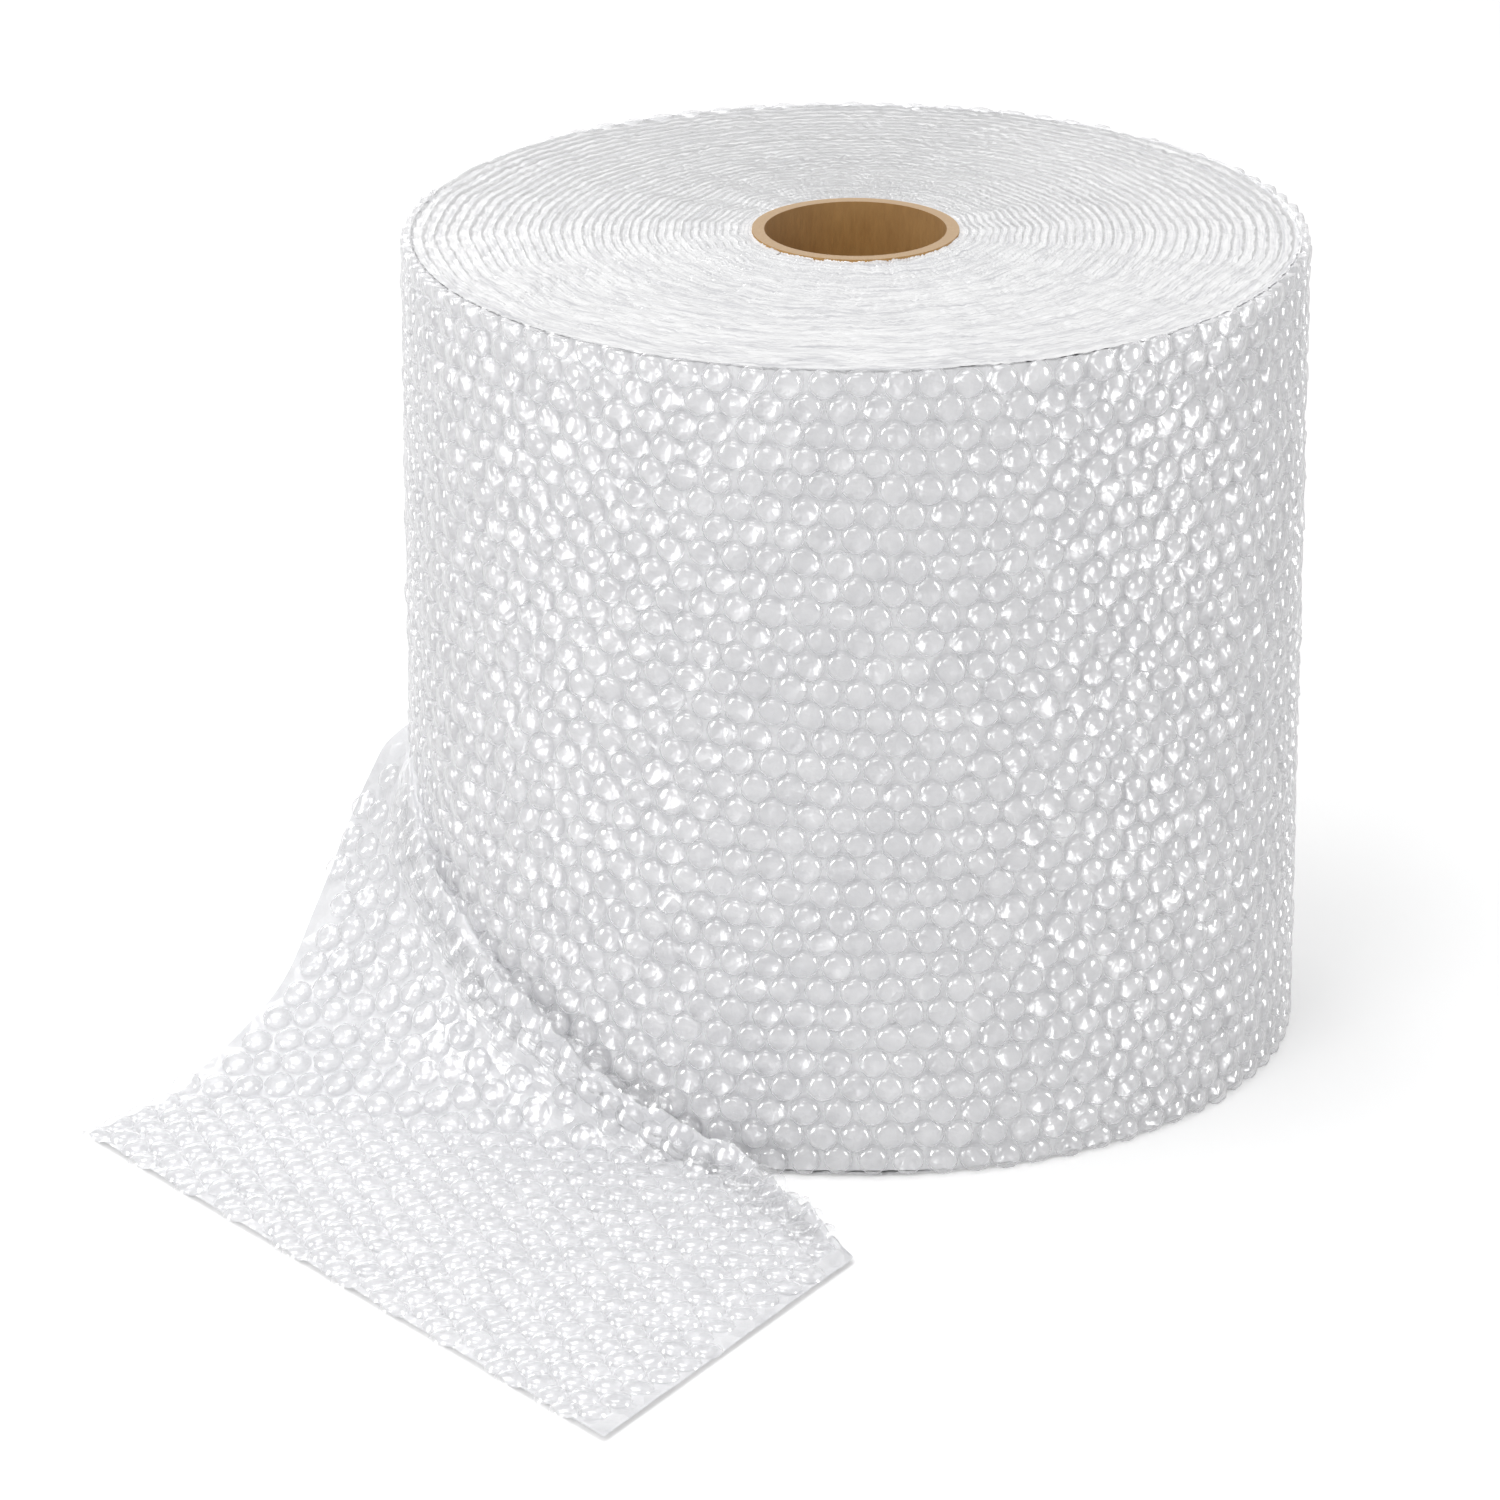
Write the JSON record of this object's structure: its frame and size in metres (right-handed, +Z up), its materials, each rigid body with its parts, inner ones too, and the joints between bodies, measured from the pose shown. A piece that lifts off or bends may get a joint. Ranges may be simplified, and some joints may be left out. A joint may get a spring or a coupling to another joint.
{
  "type": "bubble wrap roll",
  "caption": "Large roll of clear bubble film wound on a cardboard tube, standing on end, with its loose end peeled away and lying on the floor.",
  "frame": {"origin": "centre of the core tube's bore at its lower end, on the floor", "axes": "+Z up along the core's axis, -Y to the front, with the loose end lying to the front left"},
  "size_m": [0.4369, 0.5341, 0.3],
  "materials": {
    "bubble_film": "glossy",
    "cardboard": "matte"
  },
  "bodies": {
    "root": {"core_tube": "cardboard", "bubble_film": "bubble_film"}
  },
  "joints": []
}
